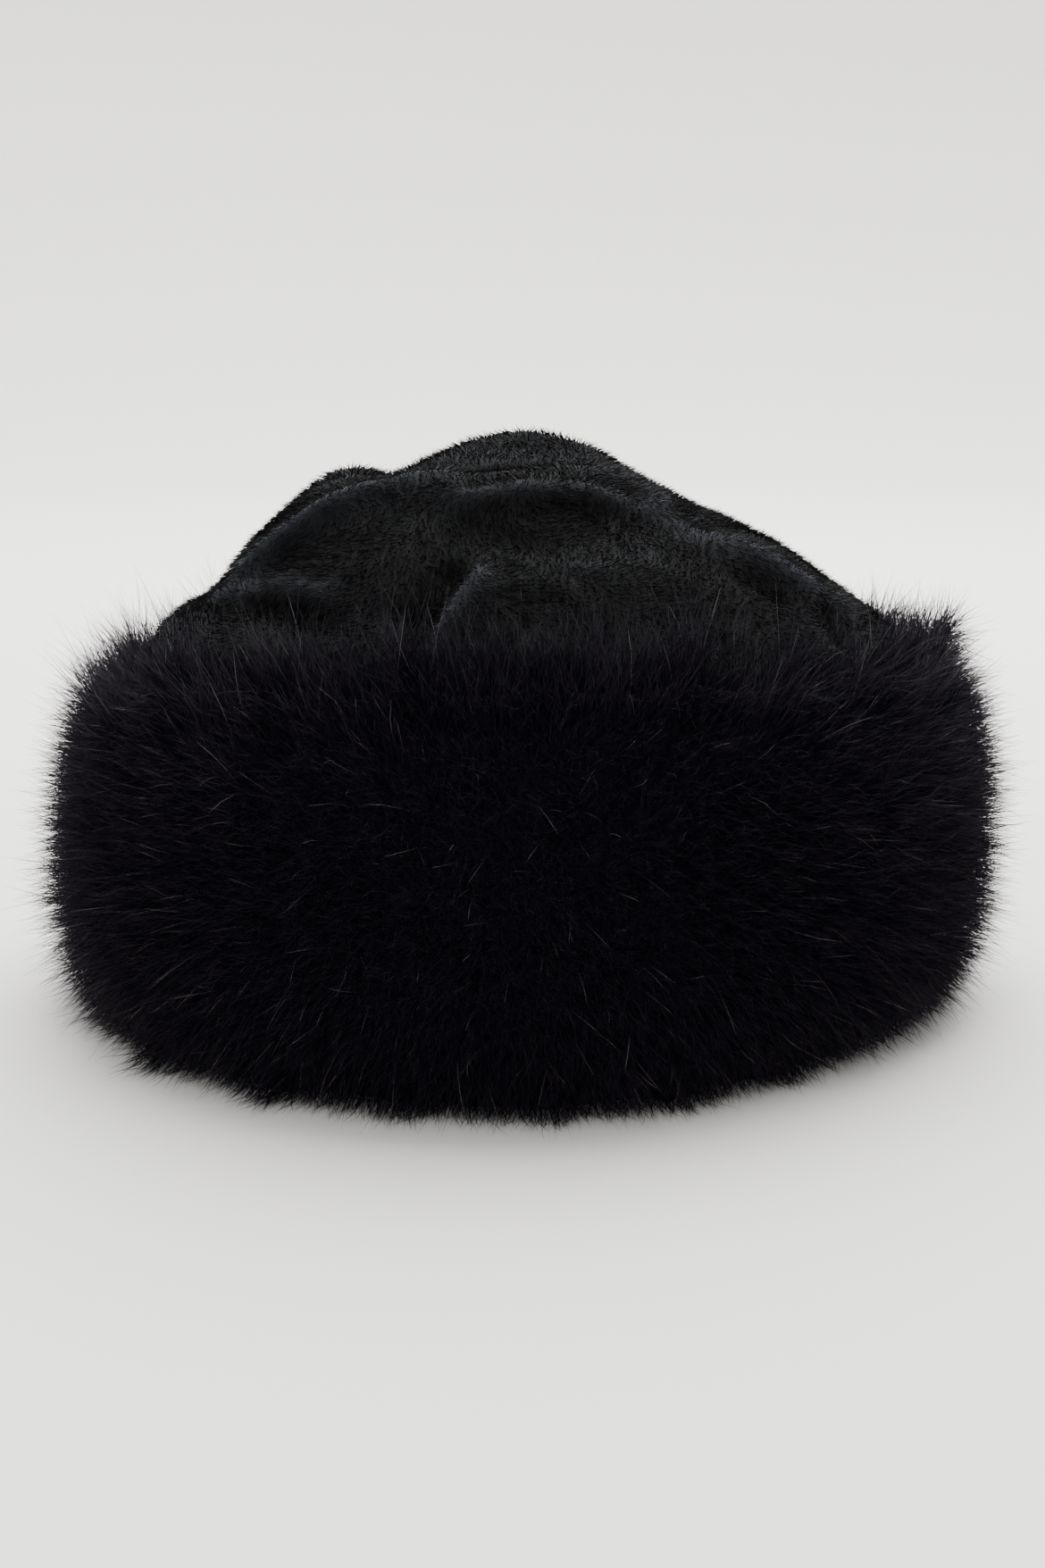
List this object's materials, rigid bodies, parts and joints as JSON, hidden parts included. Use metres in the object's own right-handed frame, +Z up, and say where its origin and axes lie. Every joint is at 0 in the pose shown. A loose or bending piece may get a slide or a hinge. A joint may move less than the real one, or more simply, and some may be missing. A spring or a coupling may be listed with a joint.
{
  "type": "fur-cuffed winter hat",
  "caption": "Soft black plush hat with a slumped, folded crown and a deep turned-up cuff of long-pile fur, open below for the head.",
  "frame": {"origin": "on the resting surface, under the middle of the hat's outline", "axes": "+Z up through the crown, -Y towards the front of the hat, +X to the right as seen from the front"},
  "size_m": [0.308, 0.296, 0.1725],
  "materials": {
    "plush": "short-pile black plush with a soft sheen along the folds",
    "fur": "long-pile black faux fur with fine glossy hairs"
  },
  "bodies": {
    "root": {"crown": "plush", "fur_cuff": "fur"}
  },
  "joints": []
}
